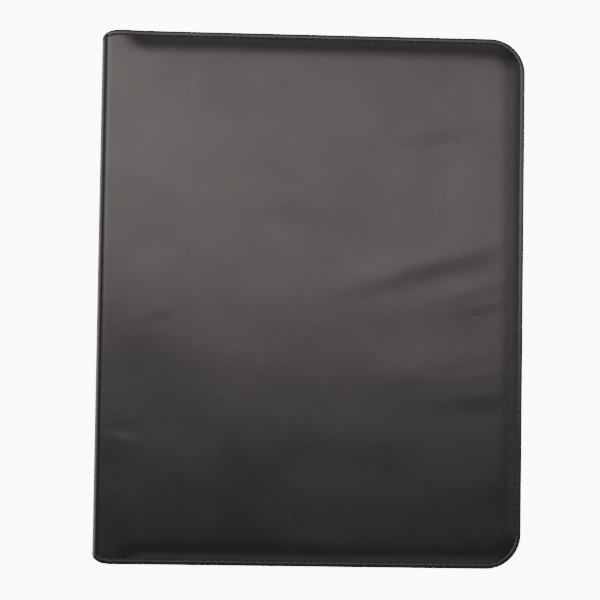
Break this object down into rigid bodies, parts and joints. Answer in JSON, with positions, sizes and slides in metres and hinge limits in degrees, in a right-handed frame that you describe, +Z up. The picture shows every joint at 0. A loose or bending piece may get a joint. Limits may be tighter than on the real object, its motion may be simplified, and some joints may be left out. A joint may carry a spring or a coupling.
{
  "type": "zippered padfolio",
  "caption": "Black padded padfolio closed by a zip on three sides, with a writing pad, document and card pockets and a pen loop inside.",
  "frame": {"origin": "middle of the resting face, on the back cover's outer side", "axes": "+X from the spine to the fore edge, +Y from foot to head along the spine, +Z up through the thickness to the front cover"},
  "size_m": [0.2646, 0.33, 0.025],
  "materials": {
    "leatherette": "satin, fine grain",
    "foam": "matte",
    "greyboard": "matte",
    "lining": "woven",
    "zip_tape": "woven",
    "zip_teeth": "satin",
    "slider_metal": "semi-gloss black",
    "pocket_leatherette": "satin",
    "paper": "ruled sheets",
    "backing_card": "matte",
    "binding": "coated",
    "elastic": "ribbed weave"
  },
  "bodies": {
    "back_cover": {"back_skin": "leatherette", "back_foam": "foam", "back_board": "greyboard", "back_lining": "lining", "back_zip_tape": "zip_tape", "back_zip_teeth": "zip_teeth", "back_zip_stops": "zip_teeth", "pad_pocket": "pocket_leatherette", "pad_backing": "backing_card", "pad_sheets": "paper", "pad_binding": "binding", "pen_loop": "elastic"},
    "spine": {"spine_skin": "leatherette", "spine_board": "greyboard", "spine_lining": "lining"},
    "front_cover": {"front_skin": "leatherette", "front_foam": "foam", "front_board": "greyboard", "front_lining": "lining", "front_zip_tape": "zip_tape", "front_zip_teeth": "zip_teeth", "front_zip_stops": "zip_teeth", "document_pocket": "pocket_leatherette", "card_pocket_1": "pocket_leatherette", "card_pocket_2": "pocket_leatherette", "card_pocket_3": "pocket_leatherette"},
    "slider_upper": {"slider_upper": "slider_metal"},
    "slider_lower": {"slider_lower": "slider_metal"},
    "pull_upper": {"pull_upper": "slider_metal"},
    "pull_lower": {"pull_lower": "slider_metal"}
  },
  "joints": [
    {"name": "spine_fold", "type": "hinge", "parent": "back_cover", "child": "spine", "pos_m": [-0.13071, 0, 0.00129], "axis": [0, -1, 0], "range_deg": [0, 90]},
    {"name": "cover_fold", "type": "hinge", "parent": "spine", "child": "front_cover", "pos_m": [-0.13071, 0, 0.02371], "axis": [0, -1, 0], "range_deg": [0, 90]},
    {"name": "slider_upper_travel", "type": "slide", "parent": "back_cover", "child": "slider_upper", "axis": [0, 1, 0], "range_m": [0, 0.12], "deforming": ["back_zip_teeth", "front_zip_teeth"]},
    {"name": "slider_lower_travel", "type": "slide", "parent": "back_cover", "child": "slider_lower", "axis": [0, -1, 0], "range_m": [0, 0.13], "deforming": ["back_zip_teeth", "front_zip_teeth"]},
    {"name": "pull_upper_swing", "type": "hinge", "parent": "slider_upper", "child": "pull_upper", "pos_m": [0.13115, 0.0094, 0.0125], "axis": [0, 0, -1], "range_deg": [0, 95]},
    {"name": "pull_lower_swing", "type": "hinge", "parent": "slider_lower", "child": "pull_lower", "pos_m": [0.13115, 0.0026, 0.0125], "axis": [0, 0, 1], "range_deg": [0, 95]}
  ]
}
